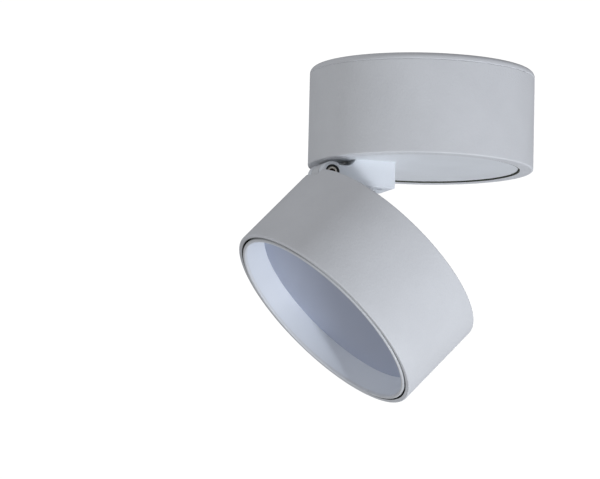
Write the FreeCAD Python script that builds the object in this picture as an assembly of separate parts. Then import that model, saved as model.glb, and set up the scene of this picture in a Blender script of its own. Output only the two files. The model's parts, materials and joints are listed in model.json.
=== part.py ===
import FreeCAD, Part

# Surface mounted ceiling spotlight in two equal drums. The upper drum stays on the ceiling and holds
# the driver. Under it a turntable carries a hinge arm, and the lower drum, the head, tilts on that arm.
#
# Millimetres, +Z up. The origin is the centre of the face that lies against the ceiling, so the whole
# light hangs below z = 0. The arm points along -X, and the hinge turns about a line parallel to Y.
# The head is modelled closed, in line with the upper drum, and then tipped to its resting tilt.

import math
import os

# Both drums
drum_radius = 55.0
fit_gap = 0.4              # round a part that drops into a drum
seat_gap = 0.05            # round a shank, a post or a pin in its hole

# Ceiling plate
plate_height = 3.4         # its visible edge
plate_web = 2.4
plate_edge_round = 2.8
seam_chamfer = 0.3
skirt_depth = 12.5
skirt_wall = 2.0
lug_height = 2.5
lug_angle = 24.0
ledge_height = 2.5
ledge_angle = 32.0
ledge_reach = 2.0
cable_hole_radius = 8.0
slot_spacing = 70.0
slot_width = 4.6
slot_length = 12.0

# Base drum
base_height = 48.5         # ceiling face to flat rim
base_wall = 2.0
rim_width = 6.5
rim_thickness = 2.5
rim_outer_round = 0.8
slide_ring_wall = 0.45     # black ring that lines the rim's opening
slide_ring_inset = 0.1
boss_radius = 3.2
boss_floor = 1.5           # metal left under a screw's tip

# Turntable
disc_recess = 0.7
disc_thickness = 3.5
disc_gap = 0.3
disc_edge_chamfer = 0.2
post_radius = 6.0
post_bore_radius = 3.4
post_end = 1.0             # thread that shows past the nut
slip_washer_height = 0.8
slip_washer_radius = 30.0
bridge_thickness = 2.0
thrust_washer_height = 0.5
thrust_washer_radius = 11.0
stop_washer_height = 1.2
stop_washer_radius = 10.5
stop_circle = 12.5
stop_pin_radius = 1.25
stop_finger_width = 2.5
spring_washer_height = 0.8
hub_nut_height = 5.0
hub_nut_flats = 19.0
lead_groove_depth = 2.0
lead_groove_width = 3.2

# Hinge arm
arm_width = 21.0
arm_inner_reach = 17.1     # light's axis to the arm's inner end
arm_drop = 6.1             # hinge axis to the arm's underside
arm_edge_round = 0.45
pad_end_inset = 11.7       # hinge axis back to the end of the pad
relief_depth = 3.2
relief_run = 4.2
arm_screw_reach = 24.4
arm_screw_spacing = 9.6
arm_screw_bore = 2.8
arm_screw_grip = 4.0       # arm left above the counterbore
hinge_inset = 5.5          # drum's side to the hinge axis
pivot_drop = 6.05          # flat rim to the hinge axis
barrel_radius = 5.2
knuckle_width = 9.4
friction_washer_height = 0.5
friction_washer_radius = 4.7
fork_root = 8.6            # hinge axis back to the root of the fork
hinge_nut_flats = 5.5
hinge_nut_height = 2.0
cup_floor = 0.5
cup_wall = 0.8
cup_gap = 0.2              # round the screw's head
cup_inset = 0.2            # cup's rim below the ear's face
hinge_head_inset = 0.4     # screw head's face below the ear's face

# Head
head_length = 47.4
head_drop = 2.8            # hinge axis to the head's back plane when closed
head_front_round = 0.5
head_back_round = 0.8
head_back_wall = 2.6
head_wall = 3.0            # round the threaded bore
mouth_wall = 2.2           # round the ring's dark gap
mouth_depth = 7.0
head_ledge_width = 5.0
head_ledge_height = 2.5
cover_thickness = 2.0
trough_depth = 4.2
trough_gap = 0.5           # each side of the arm
trough_end_gap = 1.2
trough_wall = 1.5
column_radius = 3.6
column_inset = 7.0
ring_width = 1.7
ring_bead_proud = 0.7
ring_bead_height = 1.5
ring_bead_round = 0.6
ring_skirt_wall = 0.6
thread_gap = 0.1
reflector_wall = 0.9
reflector_taper = 1.3
reflector_flange = 1.2
cavity_depth = 11.8        # head's rim to the diffuser
diffuser_thickness = 2.0
spacer_height = 10.0
spacer_wall = 2.4
board_thickness = 1.6
pad_thickness = 0.4
chip_height = 0.8
chip_length = 3.5
chip_width = 2.8
chip_first_circle = 8.0
chip_circle_pitch = 10.5
sink_thickness = 4.0
fin_thickness = 1.6
fin_pitch = 7.0
fin_gap = 1.5              # fins to the trough above them
fin_inset = 4.0            # fins' ends inside the ledge
rest_tilt = 44.0           # degrees from closed, as the light is shown

# Driver and wiring
driver_length = 60.0
driver_inset = 15.5        # light's axis to the driver's near side
driver_clearance = 1.4
driver_height = 20.0
driver_wall = 1.5
driver_tab = 7.0
driver_lid_thickness = 1.5
driver_board_lift = 2.5
terminal_length = 28.0
terminal_depth = 16.0
terminal_height = 13.0
terminal_inset = 19.0
terminal_pitch = 9.0
terminal_bore_radius = 1.6
lead_radius = 0.9
mains_lead_radius = 1.1
grommet_wall = 1.6
grommet_lip = 1.8
grommet_lip_height = 1.2
head_grommet_wall = 1.0

# Pan screws, M3
pan_shank_radius = 1.5
pan_head_radius = 2.75
pan_head_height = 1.9
pan_recess_flats = 2.5
sunk_head_height = 1.6

# Socket head screws, M2.5
cap_shank_radius = 1.25
cap_head_radius = 2.25
cap_head_height = 2.5
cap_socket_flats = 2.0

# Hinge screw, M3 with a slim head
hinge_shank_radius = 1.5
hinge_head_radius = 2.55
hinge_head_height = 2.3
hinge_head_chamfer = 0.2
hinge_socket_flats = 2.5
hinge_socket_mouth = 1.65

# Places worked out from the sizes above
rim_z = -base_height
shell_bore = drum_radius - base_wall
rim_opening = drum_radius - rim_width
flange_top = rim_z + rim_thickness
boss_circle = shell_bore - cap_head_radius - fit_gap / 2
ledge_radius = shell_bore - ledge_reach
skirt_radius = ledge_radius - fit_gap
lug_top = -skirt_depth + lug_height

slide_ring_radius = rim_opening - seat_gap
disc_radius = slide_ring_radius - slide_ring_wall - disc_gap
disc_bottom = rim_z + disc_recess
disc_top = disc_bottom + disc_thickness
bridge_bottom = disc_top + slip_washer_height
bridge_top = bridge_bottom + bridge_thickness
stop_bottom = bridge_top + thrust_washer_height
stop_top = stop_bottom + stop_washer_height
hub_nut_bottom = stop_top + spring_washer_height
hub_nut_top = hub_nut_bottom + hub_nut_height
post_top = hub_nut_top + post_end
groove_z = disc_top - lead_groove_depth / 2

pivot_x = hinge_inset - drum_radius
pivot_z = rim_z - pivot_drop
arm_side = arm_width / 2
arm_bottom = pivot_z - arm_drop
neck_top = disc_bottom - relief_depth
ear_inner = knuckle_width / 2 + friction_washer_height
fork_root_x = pivot_x + fork_root
pad_end_x = pivot_x + pad_end_inset
lead_hole_x = fork_root_x + lead_groove_width / 2
lead_slot_x = (fork_root_x + pivot_x + barrel_radius) / 2
arm_screw_top = disc_bottom - arm_screw_grip
arm_screw_tip = disc_top - boss_floor / 2
cup_bore = hinge_head_radius + cup_gap
counterbore_radius = cup_bore + cup_wall + seat_gap
hinge_head_seat = hinge_head_inset + hinge_head_height - arm_side
counterbore_floor = hinge_head_seat + cup_floor

back_z = pivot_z - head_drop
front_z = back_z - head_length
head_bore_radius = drum_radius - head_wall
mouth_radius = drum_radius - mouth_wall
ledge_inner_radius = head_bore_radius - head_ledge_width
column_circle = drum_radius - column_inset
head_back_bore = drum_radius - head_back_wall
trough_floor = back_z - trough_depth
trough_side = arm_side + trough_gap
trough_end_x = trough_end_gap - arm_inner_reach
diffuser_front = front_z + cavity_depth
diffuser_back = diffuser_front + diffuser_thickness
sink_bottom = diffuser_back + spacer_height
sink_top = sink_bottom + sink_thickness
head_ledge_top = sink_top + head_ledge_height
board_back = sink_bottom - pad_thickness
board_front = board_back - board_thickness
board_radius = head_bore_radius - fit_gap - spacer_wall - fit_gap
fin_top = trough_floor - trough_wall - fin_gap
fin_circle = ledge_inner_radius - fin_inset
ring_radius = head_bore_radius - thread_gap
ring_inner_radius = ring_radius - ring_width
reflector_back_radius = ring_inner_radius - reflector_taper
head_grommet_radius = lead_radius + head_grommet_wall

driver_far = math.sqrt((shell_bore - driver_clearance) ** 2 - (driver_length / 2) ** 2)
driver_top = bridge_top + driver_height
driver_tab_y = driver_inset + driver_tab / 2
terminal_near = -terminal_inset
terminal_far = -terminal_inset - terminal_depth
terminal_lead_z = bridge_top + terminal_height / 3
driver_lead_z = bridge_top + driver_height / 2

quarter_turns = (45.0, 135.0, 225.0, 315.0)
third_turns = (90.0, 210.0, 330.0)


def at(x, y, z):
    return FreeCAD.Vector(x, y, z)


def on_circle(radius, degrees):
    turn = math.radians(degrees)
    return radius * math.cos(turn), radius * math.sin(turn)


def rod(radius, low, high, x=0.0, y=0.0):
    """A round bar parallel to Z."""
    return Part.makeCylinder(radius, high - low, at(x, y, low))


def cross_rod(radius, low, high, x, z):
    """A round bar parallel to Y."""
    return Part.makeCylinder(radius, high - low, at(x, low, z), at(0, 1, 0))


def tube(outer, inner, low, high, x=0.0, y=0.0):
    return rod(outer, low, high, x, y).cut(rod(inner, low, high, x, y))


def block(x_low, x_high, y_low, y_high, z_low, z_high):
    return Part.makeBox(x_high - x_low, y_high - y_low, z_high - z_low, at(x_low, y_low, z_low))


def sector(outer, inner, low, high, middle, spread):
    """Part of a ring, spread degrees wide about the middle direction."""
    wedge = Part.makeCylinder(outer, high - low, at(0, 0, low), at(0, 0, 1), spread)
    wedge.rotate(at(0, 0, 0), at(0, 0, 1), middle - spread / 2)
    return wedge.cut(rod(inner, low, high))


def hexagon(flats, low, high, x=0.0, y=0.0):
    """A hexagonal bar parallel to Z."""
    corner = flats / math.sqrt(3)
    points = [at(x + px, y + py, low) for px, py in (on_circle(corner, 60 * i) for i in range(7))]
    return Part.Face(Part.makePolygon(points)).extrude(at(0, 0, high - low))


def turned(points, arcs=None):
    """A ring turned about Z from an outline of (radius, z) points.

    arcs gives, by the number of the point where a side starts, the point that the side bows through.
    """
    corners = [at(radius, 0, z) for radius, z in points + points[:1]]
    sides = []
    for i, (start, end) in enumerate(zip(corners, corners[1:])):
        if arcs and i in arcs:
            radius, z = arcs[i]
            sides.append(Part.Arc(start, at(radius, 0, z), end).toShape())
        else:
            sides.append(Part.LineSegment(start, end).toShape())
    return Part.Face(Part.Wire(sides)).revolve(at(0, 0, 0), at(0, 0, 1), 360)


def round_edges_at(shape, z, radius, size):
    """Rounds the circular edges of one height and one radius."""
    edges = [
        edge for edge in shape.Edges
        if isinstance(edge.Curve, Part.Circle)
        and abs(edge.Curve.Radius - radius) < 1e-4
        and abs(edge.Curve.Center.z - z) < 1e-4
    ]
    return shape.makeFillet(size, edges)


def chamfer_edges_at(shape, z, radius, size):
    edges = [
        edge for edge in shape.Edges
        if isinstance(edge.Curve, Part.Circle)
        and abs(edge.Curve.Radius - radius) < 1e-4
        and abs(edge.Curve.Center.z - z) < 1e-4
    ]
    return shape.makeChamfer(size, edges)


def screw(x, y, seat, tip, shank, head_radius, head_height, flats):
    """A screw parallel to Z with a hexagon socket. Its head is on the seat's side away from the tip."""
    way = 1 if tip < seat else -1
    face = seat + way * head_height
    socket_floor = seat + way * head_height / 2
    head = rod(head_radius, min(seat, face), max(seat, face), x, y)
    socket = hexagon(flats, min(socket_floor, face), max(socket_floor, face), x, y)
    return head.cut(socket).fuse(rod(shank, min(seat, tip), max(seat, tip), x, y)).removeSplitter()


def pan_screw(x, y, seat, tip):
    return screw(
        x, y, seat, tip, pan_shank_radius, pan_head_radius, pan_head_height, pan_recess_flats
    )


def cap_screw(x, y, seat, tip):
    return screw(
        x, y, seat, tip, cap_shank_radius, cap_head_radius, cap_head_height, cap_socket_flats
    )


def sunk_cone(x, y, face):
    """The countersink of an M3 screw that points down, flush with the face."""
    tip = at(x, y, face - sunk_head_height)
    return Part.makeCone(pan_shank_radius, pan_head_radius, sunk_head_height, tip)


def pan_hole(x, y, low, high):
    return rod(pan_shank_radius + seat_gap, low, high, x, y)


def cap_hole(x, y, low, high):
    return rod(cap_shank_radius + seat_gap, low, high, x, y)


def lead(points, radius):
    """A round lead along straight runs, with an arc at each inner point."""
    edges = []
    start = points[0]
    for before, corner, after in zip(points, points[1:], points[2:]):
        setback = 0.45 * min((corner - before).Length, (after - corner).Length)
        run_in = (before - corner).normalize() * setback
        run_out = (after - corner).normalize() * setback
        middle_way = (run_in + run_out).normalize()
        half_turn = run_in.getAngle(run_out) / 2
        bend_radius = setback * math.tan(half_turn)
        to_centre = setback / math.cos(half_turn)
        middle = corner + middle_way * (to_centre - bend_radius)
        edges.append(Part.LineSegment(start, corner + run_in).toShape())
        edges.append(Part.Arc(corner + run_in, middle, corner + run_out).toShape())
        start = corner + run_out
    edges.append(Part.LineSegment(start, points[-1]).toShape())
    route = Part.Wire(edges)
    section = Part.Wire(Part.makeCircle(radius, points[0], points[1] - points[0]))
    return route.makePipeShell([section], True, False)


def tip_head(shape):
    """Turns a piece of the closed head about the hinge to the resting tilt."""
    shape.rotate(at(pivot_x, 0, pivot_z), at(0, 1, 0), rest_tilt)
    return shape


def tipped(point):
    """Where a point of the closed head is at the resting tilt."""
    turn = math.radians(rest_tilt)
    x = point.x - pivot_x
    z = point.z - pivot_z
    return at(
        pivot_x + x * math.cos(turn) + z * math.sin(turn),
        point.y,
        pivot_z - x * math.sin(turn) + z * math.cos(turn),
    )


# Base drum: what stays on the ceiling


def ceiling_plate():
    """Cast plate with a rounded edge, and a skirt whose lugs hold the base drum up."""
    plate = rod(drum_radius, -plate_height, 0)
    plate = round_edges_at(plate, 0, drum_radius, plate_edge_round)
    plate = chamfer_edges_at(plate, -plate_height, drum_radius, seam_chamfer)
    plate = plate.cut(rod(skirt_radius, -plate_height, -plate_web))
    plate = plate.fuse(tube(skirt_radius, skirt_radius - skirt_wall, -skirt_depth, -plate_web))
    for turn in third_turns:
        lug = sector(
            shell_bore - fit_gap, skirt_radius - skirt_wall / 2, -skirt_depth, lug_top, turn, lug_angle
        )
        plate = plate.fuse(lug)
    plate = plate.cut(rod(cable_hole_radius, -plate_web, 0))
    for side in (-1, 1):
        middle = side * slot_spacing / 2
        straight = (slot_length - slot_width) / 2
        slot = block(
            middle - straight, middle + straight, -slot_width / 2, slot_width / 2, -plate_web, 0
        )
        slot = slot.fuse(rod(slot_width / 2, -plate_web, 0, middle - straight))
        slot = slot.fuse(rod(slot_width / 2, -plate_web, 0, middle + straight))
        plate = plate.cut(slot)
    return plate.removeSplitter()


def base_shell():
    """Drum with a flat inward rim, screw bosses on the rim and three ledges that hang on the lugs."""
    shell = rod(drum_radius, rim_z, -plate_height)
    shell = round_edges_at(shell, rim_z, drum_radius, rim_outer_round)
    shell = chamfer_edges_at(shell, -plate_height, drum_radius, seam_chamfer)
    shell = shell.cut(rod(shell_bore, flange_top, -plate_height))
    shell = shell.cut(rod(rim_opening, rim_z, flange_top))
    boss_zone = tube(shell_bore + base_wall / 2, disc_radius + fit_gap, flange_top, bridge_bottom)
    for turn in quarter_turns:
        x, y = on_circle(boss_circle, turn)
        shell = shell.fuse(rod(boss_radius, flange_top, bridge_bottom, x, y).common(boss_zone))
    for turn in quarter_turns:
        x, y = on_circle(boss_circle, turn)
        shell = shell.cut(cap_hole(x, y, rim_z + boss_floor, bridge_bottom))
    for turn in third_turns:
        ledge = sector(
            shell_bore + base_wall / 2, ledge_radius, lug_top, lug_top + ledge_height, turn, ledge_angle
        )
        shell = shell.fuse(ledge)
    return shell.removeSplitter()


def slide_ring():
    """Black ring pressed into the rim's opening, round the turntable's disc."""
    inner = slide_ring_radius - slide_ring_wall
    return tube(slide_ring_radius, inner, rim_z + slide_ring_inset, flange_top - seat_gap)


def swivel_bridge():
    """Steel disc across the base drum that the turntable's post hangs from."""
    bridge = rod(shell_bore - fit_gap, bridge_bottom, bridge_top)
    bridge = bridge.cut(rod(post_radius + seat_gap, bridge_bottom, bridge_top))
    bridge = bridge.cut(rod(stop_pin_radius, bridge_bottom, bridge_top, stop_circle))
    for turn in quarter_turns:
        x, y = on_circle(boss_circle, turn)
        bridge = bridge.cut(cap_hole(x, y, bridge_bottom, bridge_top))
    for x, y in driver_screw_places() + [terminal_screw_place(), earth_screw_place()]:
        bridge = bridge.cut(pan_hole(x, y, bridge_bottom, bridge_top))
    return bridge


def bridge_screws():
    places = [on_circle(boss_circle, turn) for turn in quarter_turns]
    return Part.makeCompound([cap_screw(x, y, bridge_top, rim_z + boss_floor) for x, y in places])


def stop_pin():
    """Pin pressed into the bridge, which ends the turntable's travel."""
    return rod(stop_pin_radius, bridge_bottom, stop_top, stop_circle)


def cable_grommet():
    """Soft grommet in the ceiling plate's cable hole."""
    bore = cable_hole_radius - grommet_wall
    lip_bottom = -plate_web - grommet_lip_height
    sleeve = tube(cable_hole_radius, bore, -plate_web, -grommet_lip_height / 2)
    lip = tube(cable_hole_radius + grommet_lip, bore, lip_bottom, -plate_web)
    return sleeve.fuse(lip).removeSplitter()


# Driver


def driver_screw_places():
    reach = driver_length / 2 + driver_tab / 2
    return [(-reach, driver_tab_y), (reach, driver_tab_y)]


def driver_case():
    """Open plastic box with two screw tabs and a hole for each lead."""
    side = driver_length / 2
    case = block(-side, side, driver_inset, driver_far, bridge_top, driver_top)
    case = case.cut(
        block(
            driver_wall - side,
            side - driver_wall,
            driver_inset + driver_wall,
            driver_far - driver_wall,
            bridge_top + driver_wall,
            driver_top,
        )
    )
    tab_reach = side + driver_tab
    tab = block(
        -tab_reach, tab_reach, driver_inset, driver_inset + driver_tab, bridge_top, bridge_top + driver_wall
    )
    tab = tab.cut(block(-side, side, driver_inset, driver_far, bridge_top, driver_top))
    case = case.fuse(tab)
    for x, y in driver_screw_places():
        case = case.cut(pan_hole(x, y, bridge_top, bridge_top + driver_wall))
    for x, z, radius in driver_lead_holes():
        case = case.cut(
            cross_rod(radius + seat_gap, driver_inset - driver_wall, driver_inset + driver_wall, x, z)
        )
    return case.removeSplitter()


def driver_lead_holes():
    return [
        (live_x(), driver_lead_z, mains_lead_radius),
        (neutral_x(), driver_lead_z, mains_lead_radius),
        (output_x(), driver_lead_z, lead_radius),
    ]


def live_x():
    return -driver_length / 2 + 3 * driver_wall


def neutral_x():
    return live_x() + 3 * mains_lead_radius


def output_x():
    return driver_length / 4


def driver_lid():
    side = driver_length / 2
    lid = block(-side, side, driver_inset, driver_far, driver_top, driver_top + driver_lid_thickness)
    inset = driver_wall + seat_gap
    rib = block(
        inset - side,
        side - inset,
        driver_inset + inset,
        driver_far - inset,
        driver_top - driver_lid_thickness,
        driver_top,
    )
    hollow = block(
        inset + driver_wall - side,
        side - inset - driver_wall,
        driver_inset + inset + driver_wall,
        driver_far - inset - driver_wall,
        driver_top - driver_lid_thickness,
        driver_top,
    )
    return lid.fuse(rib.cut(hollow)).removeSplitter()


def driver_board_faces():
    low = bridge_top + driver_wall + driver_board_lift
    return low, low + board_thickness


def driver_board():
    """Circuit board on four feet, with a lead's tail left clear at the near edge."""
    low, high = driver_board_faces()
    edge = driver_wall + fit_gap
    side = driver_length / 2 - edge
    board = block(-side, side, driver_inset + edge, driver_far - edge, low, high)
    foot_floor = bridge_top + driver_wall
    for x in (-side + driver_board_lift, side - driver_board_lift):
        for y in (driver_inset + edge + driver_board_lift, driver_far - edge - driver_board_lift):
            board = board.fuse(rod(driver_wall, foot_floor, low, x, y))
    return board.removeSplitter()


def component_limits():
    """Near side, far side and top of the room over the driver's board."""
    near = driver_inset + driver_wall + 3 * fit_gap + driver_board_lift
    far = driver_far - driver_wall - 3 * fit_gap
    return near, far, driver_top - driver_lid_thickness - fit_gap


def driver_transformer():
    """Ferrite core with its winding, upright on the board."""
    board_top = driver_board_faces()[1]
    near, far, top = component_limits()
    core_side = (top - board_top) / 2
    core = block(-core_side, core_side, near, far, board_top, top)
    window = (core_side - driver_wall) / 2
    for side in (-1, 1):
        middle = side * core_side / 2
        core = core.cut(
            block(
                middle - window / 2,
                middle + window / 2,
                near,
                far,
                board_top + driver_wall,
                top - driver_wall,
            )
        )
    return core


def driver_capacitors():
    """Two can capacitors at one end of the board."""
    board_top = driver_board_faces()[1]
    near, far, top = component_limits()
    radius = (far - near) / 4 - fit_gap
    x = driver_length / 2 - driver_wall - fit_gap - radius - driver_board_lift
    cans = [rod(radius, board_top, top, x, near + (far - near) * share) for share in (0.25, 0.75)]
    return Part.makeCompound(cans)


def driver_screws():
    seat = bridge_top + driver_wall
    return Part.makeCompound([pan_screw(x, y, seat, bridge_bottom) for x, y in driver_screw_places()])


# Supply terminals


def terminal_screw_place():
    return terminal_length / 2 + pan_head_radius + fit_gap, terminal_near - terminal_depth / 2


def earth_screw_place():
    x, y = terminal_screw_place()
    return x + 2 * pan_head_radius + terminal_pitch / 2, y


def terminal_xs():
    return [terminal_pitch * i for i in (-1, 0, 1)]


def terminal_block():
    """Three-way block with a through bore and a screw well for each pole, and a screwed tab."""
    side = terminal_length / 2
    body = block(-side, side, terminal_far, terminal_near, bridge_top, bridge_top + terminal_height)
    screw_x, screw_y = terminal_screw_place()
    tab = block(
        side,
        screw_x + pan_head_radius,
        screw_y - pan_head_radius,
        screw_y + pan_head_radius,
        bridge_top,
        bridge_top + driver_wall,
    )
    body = body.fuse(tab).cut(pan_hole(screw_x, screw_y, bridge_top, bridge_top + driver_wall))
    for x in terminal_xs():
        body = body.cut(cross_rod(terminal_bore_radius, terminal_far, terminal_near, x, terminal_lead_z))
        for y in terminal_screw_ys():
            body = body.cut(
                rod(pan_head_radius, terminal_lead_z + terminal_bore_radius,
                    bridge_top + terminal_height, x, y)
            )
    return body.removeSplitter()


def terminal_screw_ys():
    return (terminal_near - terminal_depth / 4, terminal_near - 3 * terminal_depth / 4)


def terminal_screws():
    """Clamp screws, two to a pole, sunk in their wells."""
    low = terminal_lead_z + terminal_bore_radius
    high = bridge_top + terminal_height - pan_head_height
    radius = pan_head_radius - seat_gap
    screws = []
    for x in terminal_xs():
        for y in terminal_screw_ys():
            slot = block(x - radius, x + radius, y - seat_gap * 6, y + seat_gap * 6, high - 0.8, high)
            screws.append(rod(radius, low, high, x, y).cut(slot))
    return Part.makeCompound(screws)


def terminal_fixing_screw():
    x, y = terminal_screw_place()
    return pan_screw(x, y, bridge_top + driver_wall, bridge_bottom)


def earth_tag_height():
    return 2 * lead_radius + fit_gap


def earth_screw():
    x, y = earth_screw_place()
    return pan_screw(x, y, bridge_top + earth_tag_height(), bridge_bottom)


def mains_lead(pole_x, knee_x, driver_x):
    """Lead from a pole of the block, round the hub nut, into the driver."""
    points = [
        at(pole_x, terminal_near - 2, terminal_lead_z),
        at(pole_x, terminal_near + 5, terminal_lead_z),
        at(knee_x, -9, (terminal_lead_z + driver_lead_z) / 2),
        at(driver_x, driver_inset - 8, driver_lead_z),
        at(driver_x, driver_inset + driver_wall, driver_lead_z),
    ]
    return lead(points, mains_lead_radius)


def live_lead():
    return mains_lead(-terminal_pitch, -21, live_x())


def neutral_lead():
    return mains_lead(0, -15, neutral_x())


def earth_lead():
    """Lead from the third pole to a ring tag under the earth screw."""
    screw_x, screw_y = earth_screw_place()
    tag_high = bridge_top + earth_tag_height()
    tag = tube(pan_head_radius + 1, pan_shank_radius + seat_gap, bridge_top, tag_high, screw_x, screw_y)
    lead_z = bridge_top + earth_tag_height() / 2
    wire = lead(
        [
            at(terminal_pitch, terminal_near - 2, terminal_lead_z),
            at(terminal_pitch, terminal_near + 4, terminal_lead_z),
            at(terminal_pitch + 7, terminal_near + 8, (terminal_lead_z + lead_z) / 2),
            at(screw_x, terminal_near + 5, lead_z),
            at(screw_x, screw_y + pan_head_radius + 0.5, lead_z),
        ],
        lead_radius,
    )
    return tag.fuse(wire).removeSplitter()


def output_lead():
    """Low voltage lead from the driver to the top of the hollow post."""
    return lead(
        [
            at(output_x(), driver_inset + driver_wall, driver_lead_z),
            at(output_x(), driver_inset - 5, driver_lead_z),
            at(output_x() / 2, driver_inset / 3, driver_lead_z + 2),
            at(0, 0, driver_lead_z + 1),
            at(0, 0, post_top - 3),
        ],
        lead_radius,
    )


# Turntable


def turntable_disc():
    """Cast disc with a hollow post, and a groove on top that takes the lead out to the arm."""
    disc = rod(disc_radius, disc_bottom, disc_top)
    disc = chamfer_edges_at(disc, disc_bottom, disc_radius, disc_edge_chamfer)
    disc = disc.fuse(rod(post_radius, disc_top, post_top))
    disc = disc.cut(rod(post_bore_radius, disc_top - lead_groove_depth, post_top))
    half = lead_groove_width / 2
    disc = disc.cut(block(lead_hole_x, 0, -half, half, disc_top - lead_groove_depth, disc_top))
    disc = disc.cut(rod(half, disc_bottom, disc_top, lead_hole_x))
    for y in arm_screw_ys():
        disc = disc.cut(cap_hole(-arm_screw_reach, y, disc_bottom, arm_screw_tip))
    return disc


def slip_washer():
    return tube(slip_washer_radius, post_radius + seat_gap, disc_top, bridge_bottom)


def thrust_washer():
    return tube(thrust_washer_radius, post_radius + seat_gap, bridge_top, stop_bottom)


def stop_washer():
    """Washer keyed to the post, with a finger that meets the stop pin."""
    ring = rod(stop_washer_radius, stop_bottom, stop_top)
    half = stop_finger_width / 2
    finger = block(-stop_circle - stop_pin_radius, 0, -half, half, stop_bottom, stop_top)
    return ring.fuse(finger).cut(rod(post_radius + seat_gap, stop_bottom, stop_top)).removeSplitter()


def spring_washer():
    return tube(stop_washer_radius - 0.5, post_radius + seat_gap, stop_top, hub_nut_bottom)


def hub_nut():
    nut = hexagon(hub_nut_flats, hub_nut_bottom, hub_nut_top)
    return nut.cut(rod(post_radius + seat_gap, hub_nut_bottom, hub_nut_top))


def turntable_lead():
    """Lead from the foot of the post out along the groove."""
    return lead(
        [
            at(0, 0, post_top - 3.2),
            at(0, 0, groove_z),
            at(lead_hole_x + 4, 0, groove_z),
        ],
        lead_radius,
    )


# Hinge arm


def arm_screw_ys():
    return (-arm_screw_spacing / 2, arm_screw_spacing / 2)


def arm_profile():
    """Side outline of the arm without its ears: pad, hollow relief, neck and flat underside."""
    inner_top = at(-arm_inner_reach, -arm_side, disc_bottom)
    pad_end = at(pad_end_x, -arm_side, disc_bottom)
    neck_start = at(pad_end_x - relief_run, -arm_side, neck_top)
    relief_radius = (relief_run ** 2 + relief_depth ** 2) / (2 * relief_depth)
    half_angle = math.atan2(relief_depth, relief_run)
    relief_middle = at(
        neck_start.x + relief_radius * math.sin(half_angle),
        -arm_side,
        neck_top + relief_radius * (1 - math.cos(half_angle)),
    )
    neck_end = at(pivot_x, -arm_side, neck_top)
    ear_foot = at(pivot_x, -arm_side, pivot_z - barrel_radius + 0.01)
    heel = at(pivot_x + barrel_radius + 2, -arm_side, arm_bottom)
    inner_bottom = at(-arm_inner_reach, -arm_side, arm_bottom)
    return Part.Wire(
        [
            Part.LineSegment(inner_top, pad_end).toShape(),
            Part.Arc(pad_end, relief_middle, neck_start).toShape(),
            Part.LineSegment(neck_start, neck_end).toShape(),
            Part.LineSegment(neck_end, ear_foot).toShape(),
            Part.LineSegment(ear_foot, heel).toShape(),
            Part.LineSegment(heel, inner_bottom).toShape(),
            Part.LineSegment(inner_bottom, inner_top).toShape(),
        ]
    )


def hinge_arm():
    """Cast arm under the turntable that ends in a fork with two ears."""
    arm = Part.Face(arm_profile()).extrude(at(0, arm_width, 0))
    arm = arm.fuse(cross_rod(barrel_radius, -arm_side, arm_side, pivot_x, pivot_z)).removeSplitter()
    beside = [
        edge for edge in arm.Edges
        if edge.BoundBox.YLength < 1e-4 and edge.BoundBox.ZMin < disc_bottom - 1e-4
    ]
    under = [
        edge for edge in arm.Edges
        if edge.BoundBox.YLength > arm_side and edge.BoundBox.ZMax < arm_bottom + 1e-4
    ]
    arm = arm.makeFillet(arm_edge_round, beside + under)
    arm = arm.cut(
        block(
            pivot_x - barrel_radius,
            fork_root_x,
            -ear_inner,
            ear_inner,
            arm_bottom,
            disc_bottom,
        )
    )
    for y in arm_screw_ys():
        arm = arm.cut(rod(arm_screw_bore, arm_bottom, arm_screw_top, -arm_screw_reach, y))
        arm = arm.cut(cap_hole(-arm_screw_reach, y, arm_screw_top, disc_bottom))
    arm = arm.cut(cross_rod(hinge_shank_radius + seat_gap, -arm_side, arm_side, pivot_x, pivot_z))
    arm = arm.cut(cross_rod(counterbore_radius, -arm_side, counterbore_floor, pivot_x, pivot_z))
    return arm.cut(hinge_nut_blank(seat_gap))


def arm_screws():
    return Part.makeCompound(
        [cap_screw(-arm_screw_reach, y, arm_screw_top, arm_screw_tip) for y in arm_screw_ys()]
    )


def along_y(shape, y):
    """Turns a piece made along Z at the origin to the hinge axis, with its base at y."""
    shape.rotate(at(0, 0, 0), at(1, 0, 0), -90)
    shape.translate(at(pivot_x, y, pivot_z))
    return shape


def hinge_screw():
    """Socket head screw along the hinge axis, its head sunk in the near ear."""
    blank = screw(
        0,
        0,
        0,
        arm_side - hinge_head_seat,
        hinge_shank_radius,
        hinge_head_radius,
        hinge_head_height,
        hinge_socket_flats,
    )
    blank = chamfer_edges_at(blank, -hinge_head_height, hinge_head_radius, hinge_head_chamfer)
    lead_in = hinge_socket_mouth - hinge_socket_flats / 2
    mouth = Part.makeCone(
        hinge_socket_mouth, hinge_socket_flats / 2, lead_in, at(0, 0, -hinge_head_height)
    )
    return along_y(blank.cut(mouth), hinge_head_seat)


def cup_washer():
    """Black cup in the near ear's counterbore, round the screw's head and under it."""
    outer = counterbore_radius - seat_gap
    rim = cup_inset - arm_side - counterbore_floor
    cup = tube(outer, cup_bore, rim, -cup_floor)
    floor = tube(outer, hinge_shank_radius + seat_gap, -cup_floor, 0)
    return along_y(cup.fuse(floor).removeSplitter(), counterbore_floor)


def hinge_nut_blank(gap):
    blank = hexagon(hinge_nut_flats + 2 * gap, 0, hinge_nut_height)
    return along_y(blank, arm_side - hinge_nut_height)


def hinge_nut():
    bore = cross_rod(hinge_shank_radius + seat_gap, 0, arm_side, pivot_x, pivot_z)
    return hinge_nut_blank(0).cut(bore)


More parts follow.
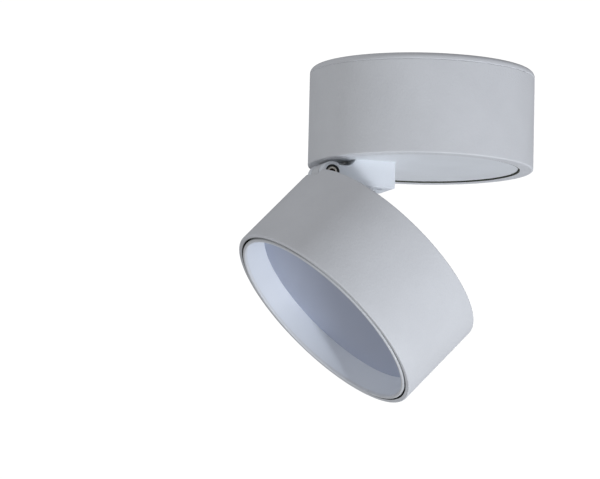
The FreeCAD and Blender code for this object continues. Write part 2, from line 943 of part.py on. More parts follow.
def friction_washers():
    """Two black washers that hold the tilt, one on each side of the knuckle."""
    washers = []
    for low in (-ear_inner, knuckle_width / 2):
        high = low + friction_washer_height
        ring = cross_rod(friction_washer_radius, low, high, pivot_x, pivot_z)
        washers.append(ring.cut(cross_rod(hinge_shank_radius + seat_gap, low, high, pivot_x, pivot_z)))
    return Part.makeCompound(washers)


def hinge_lead():
    """White lead over the hinge, through the fork's slot. It bends as the head tilts."""
    return lead(
        [
            at(lead_hole_x + 4, 0, groove_z),
            at(lead_hole_x, 0, groove_z),
            at(lead_hole_x, 0, disc_bottom - 1.2),
            at(lead_slot_x - 1, 0, neck_top + 1.3),
            at(lead_slot_x, 0, pivot_z),
            at(lead_slot_x - 0.7, 0, pivot_z - 4.2),
            tipped(at(lead_slot_x, 0, trough_floor + 4)),
            tipped(at(lead_slot_x, 0, trough_floor)),
        ],
        lead_radius,
    )


# Head


def head_shell():
    """Drum of the head: ledge inside, threaded bore in front, notch and screw columns behind."""
    shell = rod(drum_radius, front_z, back_z)
    shell = round_edges_at(shell, front_z, drum_radius, head_front_round)
    shell = round_edges_at(shell, back_z, drum_radius, head_back_round)
    shell = shell.cut(rod(head_bore_radius, front_z, sink_top))
    shell = shell.cut(rod(mouth_radius, front_z, front_z + mouth_depth))
    shell = shell.cut(rod(ledge_inner_radius, sink_top, head_ledge_top))
    shell = shell.cut(rod(head_back_bore, head_ledge_top, back_z))
    column_zone = rod(head_back_bore + head_back_wall / 2, head_ledge_top, back_z)
    for turn in quarter_turns:
        x, y = on_circle(column_circle, turn)
        column = rod(column_radius, head_ledge_top, back_z - cover_thickness, x, y)
        shell = shell.fuse(column.common(column_zone))
    for turn in quarter_turns:
        x, y = on_circle(column_circle, turn)
        shell = shell.cut(pan_hole(x, y, cover_screw_tip(), back_z))
    notch = block(
        -drum_radius, -ledge_inner_radius, -trough_side, trough_side, trough_floor, back_z
    )
    return tip_head(shell.cut(notch).removeSplitter())


def cover_screw_tip():
    return back_z - cover_thickness - 4 * pan_shank_radius


def head_back_cover():
    """Cast cover with the trough that the arm folds into and the knuckle that the screw holds."""
    cover_radius = head_back_bore - seat_gap
    cover = rod(cover_radius, back_z - cover_thickness, back_z)
    outer = block(
        -drum_radius,
        trough_end_x + trough_wall,
        -trough_side - trough_wall,
        trough_side + trough_wall,
        trough_floor - trough_wall,
        back_z,
    )
    cover = cover.fuse(outer.common(rod(cover_radius, trough_floor - trough_wall, back_z)))
    cover = cover.cut(
        block(-drum_radius, trough_end_x, -trough_side, trough_side, trough_floor, back_z)
    )
    half = knuckle_width / 2
    neck = block(
        -cover_radius + 1, pivot_x + barrel_radius - 0.7, -half, half, trough_floor - 0.5, pivot_z
    )
    cover = cover.fuse(neck).fuse(cross_rod(barrel_radius, -half, half, pivot_x, pivot_z))
    cover = cover.cut(cross_rod(hinge_shank_radius + seat_gap, -half, half, pivot_x, pivot_z))
    for turn in quarter_turns:
        x, y = on_circle(column_circle, turn)
        cover = cover.cut(pan_hole(x, y, back_z - cover_thickness, back_z))
        cover = cover.cut(sunk_cone(x, y, back_z))
    cover = cover.cut(
        rod(head_grommet_radius, trough_floor - trough_wall, trough_floor, lead_slot_x)
    )
    return tip_head(cover.removeSplitter())


def cover_screws():
    screws = []
    for turn in quarter_turns:
        x, y = on_circle(column_circle, turn)
        screw = sunk_cone(x, y, back_z).fuse(rod(pan_shank_radius, cover_screw_tip(), back_z, x, y))
        recess = hexagon(pan_recess_flats, back_z - sunk_head_height / 2, back_z, x, y)
        screws.append(screw.cut(recess).removeSplitter())
    return tip_head(Part.makeCompound(screws))


def lead_grommet():
    """Soft grommet in the trough's floor."""
    bore = lead_radius + seat_gap
    sleeve = tube(head_grommet_radius, bore, trough_floor - trough_wall, trough_floor, lead_slot_x)
    lip = tube(
        head_grommet_radius + 1,
        bore,
        trough_floor - trough_wall - grommet_lip_height / 2,
        trough_floor - trough_wall,
        lead_slot_x,
    )
    return tip_head(sleeve.fuse(lip).removeSplitter())


def heat_sink():
    """Cast disc that the ledge stops, with fins behind and a way through for the lead."""
    sink = rod(head_bore_radius - fit_gap, sink_bottom, sink_top)
    count = int((fin_circle - fin_pitch / 2) / fin_pitch) + 1
    for i in range(count):
        y = fin_pitch * (i + 0.5)
        if y + fin_thickness / 2 < fin_circle:
            reach = math.sqrt(fin_circle ** 2 - (y + fin_thickness / 2) ** 2)
            for side in (-1, 1):
                near = side * y - fin_thickness / 2
                fin = block(-reach, reach, near, near + fin_thickness, sink_top, fin_top)
                sink = sink.fuse(fin)
    sink = sink.cut(rod(head_grommet_radius, sink_bottom, sink_top, lead_slot_x))
    for turn in third_turns:
        x, y = on_circle(board_screw_circle(), turn)
        sink = sink.cut(pan_hole(x, y, sink_bottom, board_screw_tip()))
    return tip_head(sink.removeSplitter())


def board_screw_circle():
    return board_radius - 2 * pan_head_radius


def board_screw_tip():
    return sink_top - boss_floor / 2


def board_shape(low, high):
    disc = rod(board_radius, low, high).cut(rod(head_grommet_radius, low, high, lead_slot_x))
    for turn in third_turns:
        x, y = on_circle(board_screw_circle(), turn)
        disc = disc.cut(pan_hole(x, y, low, high))
    return tip_head(disc)


def thermal_pad():
    return board_shape(board_back, sink_bottom)


def led_board():
    return board_shape(board_front, board_back)


def led_chips():
    """Light emitting packages in three circles on the board."""
    chips = []
    for ring, count in enumerate((4, 12, 20)):
        radius = chip_first_circle + ring * chip_circle_pitch
        for i in range(count):
            chip = block(
                radius - chip_width / 2,
                radius + chip_width / 2,
                -chip_length / 2,
                chip_length / 2,
                board_front - chip_height,
                board_front,
            )
            chip.rotate(at(0, 0, 0), at(0, 0, 1), 360 * i / count)
            chips.append(chip)
    return tip_head(Part.makeCompound(chips))


def led_board_screws():
    screws = []
    for turn in third_turns:
        x, y = on_circle(board_screw_circle(), turn)
        screws.append(pan_screw(x, y, board_front, board_screw_tip()))
    return tip_head(Part.makeCompound(screws))


def spacer_ring():
    """White ring that holds the diffuser off the board."""
    outer = head_bore_radius - fit_gap
    return tip_head(tube(outer, outer - spacer_wall, diffuser_back, sink_bottom))


def diffuser():
    return tip_head(rod(head_bore_radius - fit_gap, diffuser_front, diffuser_back))


def reflector():
    """Smooth white cone from the ring back to the diffuser, with a flange under the ring's skirt."""
    front = front_z + ring_bead_height - ring_bead_proud
    wide = ring_inner_radius
    narrow = reflector_back_radius
    flange_radius = head_bore_radius - fit_gap
    flange_front = diffuser_front - reflector_flange
    outline = [
        (wide, front),
        (wide + reflector_wall, front),
        (narrow + reflector_wall, flange_front),
        (flange_radius, flange_front),
        (flange_radius, diffuser_front),
        (narrow, diffuser_front),
    ]
    return tip_head(turned(outline))


def front_ring():
    """Bezel with a rounded bead that stands a little proud, screwed into the bore to clamp the rest."""
    bead_front = front_z - ring_bead_proud
    bead_back = bead_front + ring_bead_height
    shoulder = bead_front + ring_bead_round
    skirt_back = diffuser_front - reflector_flange
    skirt_inner = ring_radius - ring_skirt_wall
    corner = ring_bead_round * (1 - math.sqrt(0.5))
    outline = [
        (ring_radius, skirt_back),
        (ring_radius, shoulder),
        (ring_radius - ring_bead_round, bead_front),
        (ring_inner_radius + ring_bead_round, bead_front),
        (ring_inner_radius, shoulder),
        (ring_inner_radius, bead_back),
        (skirt_inner, bead_back),
        (skirt_inner, skirt_back),
    ]
    bead_rounds = {
        1: (ring_radius - corner, bead_front + corner),
        3: (ring_inner_radius + corner, bead_front + corner),
    }
    return tip_head(turned(outline, bead_rounds))


def head_lead():
    """Lead from the grommet, between two fins, to the board."""
    return tip_head(rod(lead_radius, board_front, trough_floor, lead_slot_x))


PIECES = (
    ceiling_plate,
    base_shell,
    slide_ring,
    swivel_bridge,
    bridge_screws,
    stop_pin,
    cable_grommet,
    driver_case,
    driver_lid,
    driver_board,
    driver_transformer,
    driver_capacitors,
    driver_screws,
    terminal_block,
    terminal_screws,
    terminal_fixing_screw,
    earth_screw,
    live_lead,
    neutral_lead,
    earth_lead,
    output_lead,
    turntable_disc,
    slip_washer,
    thrust_washer,
    stop_washer,
    spring_washer,
    hub_nut,
    turntable_lead,
    hinge_arm,
    arm_screws,
    hinge_screw,
    cup_washer,
    hinge_nut,
    friction_washers,
    hinge_lead,
    head_shell,
    head_back_cover,
    cover_screws,
    lead_grommet,
    heat_sink,
    thermal_pad,
    led_board,
    led_chips,
    led_board_screws,
    spacer_ring,
    diffuser,
    reflector,
    front_ring,
    head_lead,
)

os.makedirs("parts", exist_ok=True)
for piece in PIECES:
    shape = piece()
    shape.exportStep("parts/" + piece.__name__ + ".step")
    print(piece.__name__, len(shape.Solids), "solid", shape.isValid(), round(shape.Volume, 1))
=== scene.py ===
import json
import math

import bmesh
import bpy
from mathutils import Matrix, Vector


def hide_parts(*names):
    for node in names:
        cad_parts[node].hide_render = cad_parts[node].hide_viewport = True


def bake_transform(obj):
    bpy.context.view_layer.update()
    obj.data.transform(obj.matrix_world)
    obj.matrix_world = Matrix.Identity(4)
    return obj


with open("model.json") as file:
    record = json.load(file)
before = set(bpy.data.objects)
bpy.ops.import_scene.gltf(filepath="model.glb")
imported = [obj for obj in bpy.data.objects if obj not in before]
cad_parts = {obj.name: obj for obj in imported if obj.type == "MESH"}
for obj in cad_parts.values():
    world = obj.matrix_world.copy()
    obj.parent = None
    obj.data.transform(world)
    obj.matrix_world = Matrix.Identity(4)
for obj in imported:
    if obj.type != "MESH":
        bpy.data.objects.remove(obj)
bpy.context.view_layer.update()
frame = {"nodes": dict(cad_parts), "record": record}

nodes = frame["nodes"]
record = frame["record"]


# ---- Ceiling plate ------------------------------------------------------------------------------
# The thin round plate that is screwed to the ceiling. Die-cast aluminium with a rounded edge, sprayed
# with a matt white powder that dries to a very fine grain. Two slots and a cable hole are cast in.

class Recipe:
    """One procedural material, built node by node on a Principled shader."""

    def __init__(self, name, colour, roughness, metallic=0.0):
        self.material = bpy.data.materials.new(name)
        self.material.use_nodes = True
        self.tree = self.material.node_tree
        self.shader = self.tree.nodes["Principled BSDF"]
        self.shader.inputs["Base Color"].default_value = (*colour, 1.0)
        self.shader.inputs["Roughness"].default_value = roughness
        self.shader.inputs["Metallic"].default_value = metallic
        self.place = self.tree.nodes.new("ShaderNodeTexCoord").outputs["Object"]

    def add(self, kind, **settings):
        node = self.tree.nodes.new(kind)
        for name, value in settings.items():
            setattr(node, name, value)
        return node

    def join(self, source, target):
        self.tree.links.new(source, target)
        return source

    def stretched(self, x, y, z):
        """The object's own coordinates, stretched for a grain that runs one way."""
        mapping = self.add("ShaderNodeMapping")
        mapping.inputs["Scale"].default_value = (x, y, z)
        self.join(self.place, mapping.inputs["Vector"])
        return mapping.outputs["Vector"]

    def noise(self, scale, detail=2.0, roughness=0.5, place=None):
        noise = self.add("ShaderNodeTexNoise")
        noise.inputs["Scale"].default_value = scale
        noise.inputs["Detail"].default_value = detail
        noise.inputs["Roughness"].default_value = roughness
        self.join(place or self.place, noise.inputs["Vector"])
        return noise.outputs["Fac"]

    def ranged(self, value, low, high, to_low, to_high):
        ranged = self.add("ShaderNodeMapRange")
        for socket, number in zip(("From Min", "From Max", "To Min", "To Max"), (low, high, to_low, to_high)):
            ranged.inputs[socket].default_value = number
        self.join(value, ranged.inputs["Value"])
        return ranged.outputs["Result"]

    def two_colours(self, amount, first, second):
        """Goes from the first colour to the second. The first may be a colour made by other nodes."""
        mix = self.add("ShaderNodeMix", data_type="RGBA")
        if isinstance(first, bpy.types.NodeSocket):
            self.join(first, mix.inputs["A"])
        else:
            mix.inputs["A"].default_value = (*first, 1.0)
        mix.inputs["B"].default_value = (*second, 1.0)
        self.join(amount, mix.inputs["Factor"])
        return mix.outputs["Result"]

    def colour(self, source):
        self.join(source, self.shader.inputs["Base Color"])

    def tinted(self, amount, colour):
        """Lays one more colour over the base colour, where amount says."""
        under = self.shader.inputs["Base Color"].links[0].from_socket
        self.colour(self.two_colours(amount, under, colour))

    def from_axis(self, point, tilt, across):
        """Distance from an axis through a point, turned about Y. across drops the axis's own direction."""
        mapping = self.add("ShaderNodeMapping", vector_type="TEXTURE")
        mapping.inputs["Location"].default_value = point
        mapping.inputs["Rotation"].default_value = (0.0, tilt, 0.0)
        self.join(self.place, mapping.inputs["Vector"])
        flat = self.add("ShaderNodeVectorMath", operation="MULTIPLY")
        flat.inputs[1].default_value = across
        self.join(mapping.outputs["Vector"], flat.inputs[0])
        length = self.add("ShaderNodeVectorMath", operation="LENGTH")
        self.join(flat.outputs["Vector"], length.inputs[0])
        return length.outputs["Value"]

    def specks(self, spacing, radius, share):
        """1 inside sparse small dots, 0 elsewhere."""
        cells = self.add("ShaderNodeTexVoronoi")
        cells.inputs["Scale"].default_value = 1.0 / spacing
        self.join(self.place, cells.inputs["Vector"])
        dot = self.ranged(cells.outputs["Distance"], radius / spacing, 0.5 * radius / spacing, 0.0, 1.0)
        chosen = self.ranged(cells.outputs["Color"], 1.0 - share, 1.02 - share, 0.0, 1.0)
        both = self.add("ShaderNodeMath", operation="MULTIPLY")
        self.join(dot, both.inputs[0])
        self.join(chosen, both.inputs[1])
        return both.outputs["Value"]

    def gloss(self, source, low, high):
        self.join(self.ranged(source, 0.3, 0.7, low, high), self.shader.inputs["Roughness"])

    def relief(self, source, height, strength=1.0, under=None):
        bump = self.add("ShaderNodeBump")
        bump.inputs["Distance"].default_value = height
        bump.inputs["Strength"].default_value = strength
        self.join(source, bump.inputs["Height"])
        if under is not None:
            self.join(under, bump.inputs["Normal"])
        self.join(bump.outputs["Normal"], self.shader.inputs["Normal"])
        return bump.outputs["Normal"]


def finish_node(name, recipe):
    """Gives a carried-over piece its finish."""
    slots = nodes[name].data.materials
    if not slots:
        slots.append(recipe.material)
    for i in range(len(slots)):
        slots[i] = recipe.material


def shaded(colour, share):
    """The colour made darker or lighter by a share."""
    return tuple(min(1.0, c * share) for c in colour)


def powder_coat(name, colour, grain=0.00005):
    """Sprayed matt powder: a fine orange-peel grain, faint clouding and a slightly uneven sheen."""
    coat = Recipe(name, colour, 0.55)
    grains = coat.noise(2600.0, 3.0, 0.6)
    peel = coat.noise(900.0, 2.0, 0.5)
    clouds = coat.noise(45.0, 3.0, 0.55)
    cloudy = coat.ranged(clouds, 0.35, 0.65, 0.0, 1.0)
    coat.colour(coat.two_colours(cloudy, shaded(colour, 0.975), shaded(colour, 1.015)))
    coat.tinted(coat.ranged(grains, 0.3, 0.7, 0.12, 0.0), shaded(colour, 0.8))
    coat.tinted(coat.specks(spacing=0.011, radius=0.00028, share=0.35), shaded(colour, 0.66))
    coat.gloss(clouds, 0.5, 0.62)
    peel_height = grain * 3.0
    peeled = coat.relief(peel, peel_height, 0.8)
    coat.relief(grains, grain, 0.8, under=peeled)
    coat.shader.inputs["Specular IOR Level"].default_value = 0.4
    return coat


drum_white = powder_coat("drum_powder_coat", (0.79, 0.80, 0.82))
finish_node("ceiling_plate", drum_white)


# ---- Base drum ----------------------------------------------------------------------------------
# The upper drum, a deep-drawn aluminium cup with a flat inward rim, in the same powder coat. It hangs
# on the plate by three lugs and is turned to lock.

finish_node("base_shell", drum_white)


# ---- Slide ring ---------------------------------------------------------------------------------
# A thin dark nylon ring pressed into the rim's opening. The turntable's disc turns inside it, and from
# below it shows as the dark line round the disc.

def moulded(name, colour, roughness):
    """Injection moulded plastic with a fine spark-eroded skin."""
    plastic = Recipe(name, colour, roughness)
    skin = plastic.noise(1800.0, 2.0)
    flow = plastic.noise(70.0, 3.0)
    plastic.colour(plastic.two_colours(flow, shaded(colour, 0.95), colour))
    plastic.gloss(flow, roughness - 0.06, roughness + 0.08)
    plastic.relief(skin, 0.000012, 0.6)
    return plastic


ring_nylon = moulded("slide_ring_nylon", (0.05, 0.055, 0.032), 0.6)
finish_node("slide_ring", ring_nylon)


# ---- Cable grommet ------------------------------------------------------------------------------
# A soft black ring, moulded in rubber. It is pushed into the plate's cable hole, so that the cast edge
# can't cut the supply cable.

rubber_black = Recipe("moulded_black_rubber", (0.02, 0.02, 0.02), 0.75)
rubber_black.relief(rubber_black.noise(1500.0, 2.0), 0.00002, 0.6)
rubber_black.gloss(rubber_black.noise(200.0), 0.65, 0.85)
finish_node("cable_grommet", rubber_black)


# ---- Swivel bridge, its screws and the stop pin ---------------------------------------------------
# A zinc-plated steel disc screwed to bosses inside the drum. It carries the turning half, and a pin
# pressed into it ends the turn.

def plated(name, colour, roughness, grain=(1.0, 1.0, 1.0)):
    """Plated steel: fine drawing lines, slight blotches in the plating."""
    metal = Recipe(name, colour, roughness, 1.0)
    lines = metal.noise(1400.0, 3.0, 0.6, metal.stretched(*grain))
    blotches = metal.noise(160.0, 3.0)
    metal.colour(metal.two_colours(blotches, shaded(colour, 0.86), colour))
    metal.gloss(lines, roughness - 0.07, roughness + 0.1)
    metal.relief(lines, 0.00001, 0.5)
    return metal


zinc = plated("zinc_plated_steel", (0.62, 0.63, 0.64), 0.36, (1.0, 0.08, 1.0))
for name in ("swivel_bridge", "bridge_screws", "stop_pin"):
    finish_node(name, zinc)


# ---- Driver -------------------------------------------------------------------------------------
# The power supply in its own white moulded box: a green circuit board on four feet, with a wound
# transformer and two can capacitors. The box is closed by a lid and held by a screw at each end.

driver_plastic = moulded("driver_box_plastic", (0.80, 0.80, 0.77), 0.5)
for name in ("driver_case", "driver_lid"):
    finish_node(name, driver_plastic)

circuit_board = Recipe("green_circuit_board", (0.03, 0.22, 0.09), 0.35)
weave = circuit_board.add("ShaderNodeTexChecker")
weave.inputs["Scale"].default_value = 900.0
circuit_board.join(circuit_board.place, weave.inputs["Vector"])
circuit_board.colour(circuit_board.two_colours(weave.outputs["Fac"], (0.025, 0.19, 0.07), (0.04, 0.25, 0.10)))
circuit_board.relief(circuit_board.noise(500.0, 3.0), 0.00003, 0.4)
finish_node("driver_board", circuit_board)

ferrite = Recipe("sintered_ferrite", (0.05, 0.05, 0.055), 0.6)
ferrite.relief(ferrite.noise(1300.0, 3.0), 0.00003, 0.7)
ferrite.gloss(ferrite.noise(260.0), 0.5, 0.75)
finish_node("driver_transformer", ferrite)

can_sleeve = Recipe("capacitor_sleeve", (0.02, 0.025, 0.05), 0.3)
can_sleeve.colour(can_sleeve.two_colours(can_sleeve.noise(120.0), (0.015, 0.02, 0.04), (0.03, 0.035, 0.07)))
can_sleeve.gloss(can_sleeve.noise(300.0), 0.22, 0.4)
finish_node("driver_capacitors", can_sleeve)
finish_node("driver_screws", zinc)


# ---- Terminals ----------------------------------------------------------------------------------
# A three-way screw terminal in white polyamide, where the supply is wired. Its brass clamp screws sit
# in wells, and the earth goes to a ring tag under a screw of its own.

terminal_plastic = moulded("terminal_polyamide", (0.84, 0.83, 0.79), 0.42)
finish_node("terminal_block", terminal_plastic)
brass = plated("plain_brass", (0.72, 0.55, 0.26), 0.32)
finish_node("terminal_screws", brass)
for name in ("terminal_fixing_screw", "earth_screw"):
    finish_node(name, zinc)


# ---- Inner leads --------------------------------------------------------------------------------
# Brown, blue and green insulated wires from the terminals, and the white low-voltage lead that runs
# down the hollow post and along the turntable to the hinge.

def insulation(name, colour):
    """Soft extruded insulation: faint lengthwise streaks and a waxy sheen."""
    cover = Recipe(name, colour, 0.45)
    streaks = cover.noise(700.0, 2.0, 0.5, cover.stretched(1.0, 1.0, 0.15))
    cover.colour(cover.two_colours(streaks, shaded(colour, 0.85), colour))
    cover.gloss(streaks, 0.36, 0.55)
    cover.relief(streaks, 0.00001, 0.5)
    return cover


finish_node("live_lead", insulation("brown_insulation", (0.16, 0.07, 0.03)))
finish_node("neutral_lead", insulation("blue_insulation", (0.05, 0.13, 0.5)))
finish_node("earth_lead", insulation("green_insulation", (0.25, 0.45, 0.05)))
white_insulation = insulation("white_insulation", (0.80, 0.80, 0.78))
for name in ("output_lead", "turntable_lead", "head_lead"):
    finish_node(name, white_insulation)


# ---- Turntable ----------------------------------------------------------------------------------
# The disc inside the drum's rim, cast in one with the hollow post that hangs from the bridge. Its powder
# coat is painted lighter and bluer than the drums': painted light from below. Washers and a nut above
# the bridge make it turn stiffly.

# Lighter and bluer than the drums' coat: painted light from below.
disc_white_painted_light = powder_coat("disc_coat_painted_light", (0.88, 0.905, 0.93))
finish_node("turntable_disc", disc_white_painted_light)
nylon_natural = moulded("natural_nylon", (0.72, 0.71, 0.66), 0.4)
for name in ("slip_washer", "thrust_washer"):
    finish_node(name, nylon_natural)
for name in ("stop_washer", "spring_washer", "hub_nut"):
    finish_node(name, zinc)


# ---- Hinge arm and its screws -------------------------------------------------------------------
# A cast arm screwed up into the turntable, with two ears for the hinge. Its coat is smoother than the
# drums', because small castings are sprayed thinner, and it is painted lighter and bluer: painted light
# from below. The two screws sit in counterbores underneath.

# Lighter and bluer than the drums' coat: painted light from below. Its grain is finer.
arm_white_painted_light = powder_coat("arm_coat_painted_light", (0.89, 0.92, 0.96), 0.000015)
finish_node("hinge_arm", arm_white_painted_light)
nickel = plated("nickel_plated_steel", (0.68, 0.66, 0.60), 0.3)
finish_node("arm_screws", nickel)


# ---- Hinge screw, nut and washers ---------------------------------------------------------------
# One socket head screw joins the ears and the head's knuckle. Black nylon washers on both sides of the
# knuckle give the friction that holds the tilt, and the screw's head sits in a black nylon cup. The
# screw's socket is painted near-black: painted shade in the recess.

tilt_joint = next(joint for joint in record["behaviour"]["joints"] if joint["name"] == "tilt")
hinge_place = tilt_joint["pos_m"]
socket_shade_radius = 0.0017
socket_shade_fade = 0.00015
hinge_nickel = plated("hinge_screw_nickel", (0.66, 0.62, 0.55), 0.28)
from_screw_axis = hinge_nickel.from_axis(hinge_place, 0.0, (1.0, 0.0, 1.0))
# Paints the screw's socket near-black: painted shade in the recess.
socket_painted_shade = hinge_nickel.ranged(from_screw_axis, socket_shade_radius, socket_shade_radius - socket_shade_fade, 0.0, 1.0)
hinge_nickel.tinted(socket_painted_shade, (0.035, 0.022, 0.015))
finish_node("hinge_screw", hinge_nickel)
finish_node("hinge_nut", nickel)
nylon_black = moulded("black_nylon", (0.018, 0.019, 0.016), 0.5)
for name in ("cup_washer", "friction_washers"):
    finish_node(name, nylon_black)


# ---- Lead over the hinge ------------------------------------------------------------------------
# The white silicone lead between the turntable and the head. It comes out of the disc, goes down the
# fork's slot in front of the knuckle and into a grommet in the head.

lead_radius = 0.0009
lead_route = [
    Vector((x, 0.0, z))
    for x, z in (
        (-0.0353, -0.0453), (-0.0393, -0.0453), (-0.0393, -0.0490), (-0.0436, -0.0497),
        (-0.0426, -0.05455), (-0.0433, -0.05875), (-0.04662, -0.0615), (-0.0494, -0.06438),
    )
]


def tube(name, path, radius, sides=16):
    """A closed round tube along a path in the plane y = 0."""
    across = Vector((0.0, 1.0, 0.0))
    shape = bmesh.new()
    rings = []
    for i, middle in enumerate(path):
        along = (path[min(i + 1, len(path) - 1)] - path[max(i - 1, 0)]).normalized()
        down = along.cross(across)
        turns = [2.0 * math.pi * k / sides for k in range(sides)]
        spokes = [math.cos(a) * across + math.sin(a) * down for a in turns]
        rings.append([shape.verts.new(middle + radius * spoke) for spoke in spokes])
    for ring, following in zip(rings, rings[1:]):
        for k in range(sides):
            j = (k + 1) % sides
            shape.faces.new((ring[k], ring[j], following[j], following[k])).smooth = True
    shape.faces.new(list(reversed(rings[0])))
    shape.faces.new(rings[-1])
    bmesh.ops.recalc_face_normals(shape, faces=shape.faces)
    mesh = bpy.data.meshes.new(name)
    shape.to_mesh(mesh)
    shape.free()
    piece = bpy.data.objects.new(name, mesh)
    bpy.context.scene.collection.objects.link(piece)
    return piece


def eased(points, share=0.4, steps=6):
    """The same route with its corners rounded."""
    path = [points[0]]
    for before, corner, after in zip(points, points[1:], points[2:]):
        enter, leave = corner.lerp(before, share), corner.lerp(after, share)
        for k in range(steps + 1):
            t = k / steps
            path.append(enter.lerp(corner, t).lerp(corner.lerp(leave, t), t))
    return path + [points[-1]]


bent_lead = tube("bent_lead", eased(lead_route), lead_radius)
bent_lead.data.materials.append(white_insulation.material)
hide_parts("hinge_lead")
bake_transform(bent_lead)


# ---- Head drum, its back cover and their screws -------------------------------------------------
# The lower drum, of the same cup and coat as the upper one, with a notch in its rear rim. The cover
# closes its back and has the trough that the arm folds into, and the hinge's knuckle. Inside the
# drum's mouth the coat is painted near-black: painted shade in the gap round the front ring.

rest_tilt = math.radians(-tilt_joint["range_deg"][0])
head_axis_point = (
    hinge_place[0] - hinge_place[0] * math.cos(rest_tilt) - hinge_place[2] * math.sin(rest_tilt),
    0.0,
    hinge_place[2] + hinge_place[0] * math.sin(rest_tilt) - hinge_place[2] * math.cos(rest_tilt),
)
head_radial = (1.0, 1.0, 0.0)
mouth_shade_full_radius = 0.05284
mouth_shade_edge_radius = 0.05292
head_white = powder_coat("head_powder_coat", (0.79, 0.80, 0.82))
from_head_axis = head_white.from_axis(head_axis_point, rest_tilt, head_radial)
# Paints the drum's mouth near-black: painted shade in the gap round the front ring.
mouth_painted_shade = head_white.ranged(from_head_axis, mouth_shade_edge_radius, mouth_shade_full_radius, 0.0, 1.0)
head_white.tinted(mouth_painted_shade, (0.05, 0.058, 0.047))
finish_node("head_shell", head_white)
finish_node("head_back_cover", drum_white)
finish_node("cover_screws", drum_white)
finish_node("lead_grommet", rubber_black)


# ---- Heat sink and light source -----------------------------------------------------------------
# A cast aluminium disc with fins behind. The white metal-cored board is screwed to it over a grey
# thermal sheet, and carries yellow phosphor packages in three circles.

cast_aluminium = plated("as_cast_aluminium", (0.70, 0.70, 0.71), 0.5)
finish_node("heat_sink", cast_aluminium)
thermal_sheet = moulded("thermal_sheet", (0.30, 0.31, 0.33), 0.8)
finish_node("thermal_pad", thermal_sheet)
solder_mask = moulded("white_solder_mask", (0.80, 0.80, 0.77), 0.35)
finish_node("led_board", solder_mask)
phosphor = Recipe("phosphor_resin", (0.80, 0.62, 0.12), 0.25)
phosphor.colour(phosphor.two_colours(phosphor.noise(900.0), (0.72, 0.5, 0.08), (0.85, 0.68, 0.16)))
phosphor.relief(phosphor.noise(1600.0), 0.00001, 0.4)
finish_node("led_chips", phosphor)
finish_node("led_board_screws", zinc)


# ---- Spacer and diffuser ------------------------------------------------------------------------
# A white ring holds the opal acrylic disc off the board. The disc is slightly milky and lavender when
# the light is off, with a soft sheen.

finish_node("spacer_ring", driver_plastic)
opal = Recipe("opal_acrylic", (0.50, 0.55, 0.69), 0.4)
opal.colour(opal.two_colours(opal.noise(30.0, 2.0), (0.49, 0.545, 0.69), (0.52, 0.56, 0.69)))
# Near its rim the disc is painted darker and bluer: painted shade where it meets the reflector.
rim_painted_shade_start = 0.0485
rim_painted_shade_end = 0.0489
from_middle = opal.from_axis(head_axis_point, rest_tilt, head_radial)
opal.tinted(opal.ranged(from_middle, rim_painted_shade_start, rim_painted_shade_end, 0.0, 0.75), (0.16, 0.22, 0.38))
opal.relief(opal.noise(1100.0, 2.0), 0.000006, 0.5)
finish_node("diffuser", opal)


# ---- Reflector ----------------------------------------------------------------------------------
# The short white cone between the diffuser and the front ring, moulded in polycarbonate with a smooth
# satin face. The front ring holds it in the drum's mouth.

reflector_white = Recipe("reflector_white", (0.80, 0.83, 0.88), 0.34)
flow = reflector_white.noise(16.0, 1.0)
reflector_white.colour(reflector_white.two_colours(flow, (0.79, 0.82, 0.87), (0.81, 0.84, 0.89)))
reflector_white.gloss(flow, 0.32, 0.37)
reflector_white.relief(reflector_white.noise(1800.0, 2.0), 0.000005, 0.4)
finish_node("reflector", reflector_white)


# ---- Front ring ---------------------------------------------------------------------------------
# A thin bezel with a rounded bead, screwed into the drum's mouth over the reflector. Its satin coat is
# smoother than the drum's.

ring_satin = moulded("ring_satin_coat", (0.78, 0.79, 0.81), 0.32)
finish_node("front_ring", ring_satin)


# ---- Studio -------------------------------------------------------------------------------------
# A pale floor far below, a white surround, soft lamps about the light, and the camera below and in
# front of it, as in the photograph.

floor_size = 12.0
floor_height = -2.6
floor_light = 0.55
bpy.ops.mesh.primitive_plane_add(size=floor_size, location=(0.0, 0.0, floor_height))
floor = bpy.context.object
floor.name = "studio_floor"
floor_paint = Recipe("pale_floor", (0.86, 0.86, 0.86), 0.7)
floor_paint.relief(floor_paint.noise(8.0), 0.001, 0.1)
floor_paint.shader.inputs["Emission Color"].default_value = (1.0, 1.0, 1.0, 1.0)
floor_seen = floor_paint.add("ShaderNodeLightPath").outputs["Is Camera Ray"]
floor_glow = floor_paint.ranged(floor_seen, 0.0, 1.0, 0.0, floor_light)
floor_paint.join(floor_glow, floor_paint.shader.inputs["Emission Strength"])
floor.data.materials.append(floor_paint.material)

world = bpy.data.worlds.new("studio_world")
bpy.context.scene.world = world
world.use_nodes = True
world_tree = world.node_tree
world_out = world_tree.nodes["World Output"]
soft_fill = world_tree.nodes["Background"]
soft_fill.inputs["Color"].default_value = (0.93, 0.945, 1.0, 1.0)
soft_fill.inputs["Strength"].default_value = 0.3
backdrop = world_tree.nodes.new("ShaderNodeBackground")
backdrop.inputs["Color"].default_value = (1.0, 1.0, 1.0, 1.0)
backdrop.inputs["Strength"].default_value = 1.05
seen = world_tree.nodes.new("ShaderNodeLightPath")
choose = world_tree.nodes.new("ShaderNodeMixShader")
world_tree.links.new(seen.outputs["Is Camera Ray"], choose.inputs["Fac"])
world_tree.links.new(soft_fill.outputs["Background"], choose.inputs[1])
world_tree.links.new(backdrop.outputs["Background"], choose.inputs[2])
world_tree.links.new(choose.outputs["Shader"], world_out.inputs["Surface"])

lamps_aim = Vector((-0.02, 0.0, -0.08))
lamps_distance = 1.6


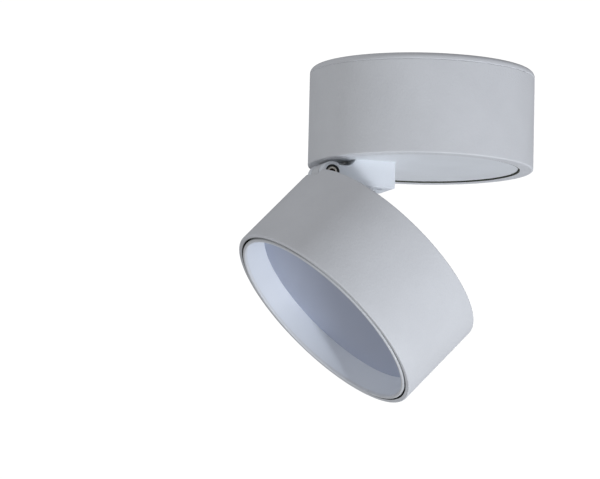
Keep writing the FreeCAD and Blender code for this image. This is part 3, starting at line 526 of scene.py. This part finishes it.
def lamp(name, direction, size, power, colour):
    """A soft square lamp, turned towards the ceiling light."""
    data = bpy.data.lights.new(name, "AREA")
    data.shape = "SQUARE"
    data.size = size
    data.energy = power
    data.color = colour
    stand = bpy.data.objects.new(name, data)
    bpy.context.scene.collection.objects.link(stand)
    away = Vector(direction).normalized()
    stand.location = lamps_aim + away * lamps_distance
    stand.rotation_mode = "QUATERNION"
    stand.rotation_quaternion = away.to_track_quat("Z", "Y")
    stand.visible_camera = False


lamp("key_lamp", (0.321, -0.723, -0.611), size=0.12, power=12.0, colour=(0.88, 0.93, 1.0))
lamp("low_lamp", (0.5, -0.6, -0.8), size=0.3, power=2.4, colour=(1.0, 0.98, 0.96))
lamp("left_lamp", (-1.0, -0.2, 0.0), size=0.8, power=4.2, colour=(0.97, 1.0, 1.0))
lamp("back_lamp", (1.0, 0.5, -0.3), size=0.9, power=1.0, colour=(0.97, 0.97, 1.0))
lamp("top_lamp", (0.0, -1.0, 0.6), size=0.9, power=0.9, colour=(1.0, 0.97, 0.97))

photo_lens = 224.67
camera_place = (-0.6676, -1.6818, -0.3115)
camera_turn = (19.817, 7.153, 1.369)
camera_data = bpy.data.cameras.new("photo_camera")
camera_data.sensor_width = 36.0
camera_data.lens = photo_lens
camera_data.clip_start = 0.05
camera_data.clip_end = 50.0
camera = bpy.data.objects.new("photo_camera", camera_data)
bpy.context.scene.collection.objects.link(camera)
bpy.context.scene.camera = camera
yaw, pitch, roll = (math.radians(a) for a in camera_turn)
forward = Vector((math.sin(yaw) * math.cos(pitch), math.cos(yaw) * math.cos(pitch), math.sin(pitch)))
level = Vector((math.cos(yaw), -math.sin(yaw), 0.0))
upright = level.cross(forward)
right = level * math.cos(roll) + upright * math.sin(roll)
up = upright * math.cos(roll) - level * math.sin(roll)
turn = Matrix((right, up, -forward)).transposed().to_4x4()
camera.matrix_world = Matrix.Translation(camera_place) @ turn

view = bpy.context.scene.view_settings
view.view_transform = "Standard"
view.look = "None"
view.exposure = 0.0
view.gamma = 1.0
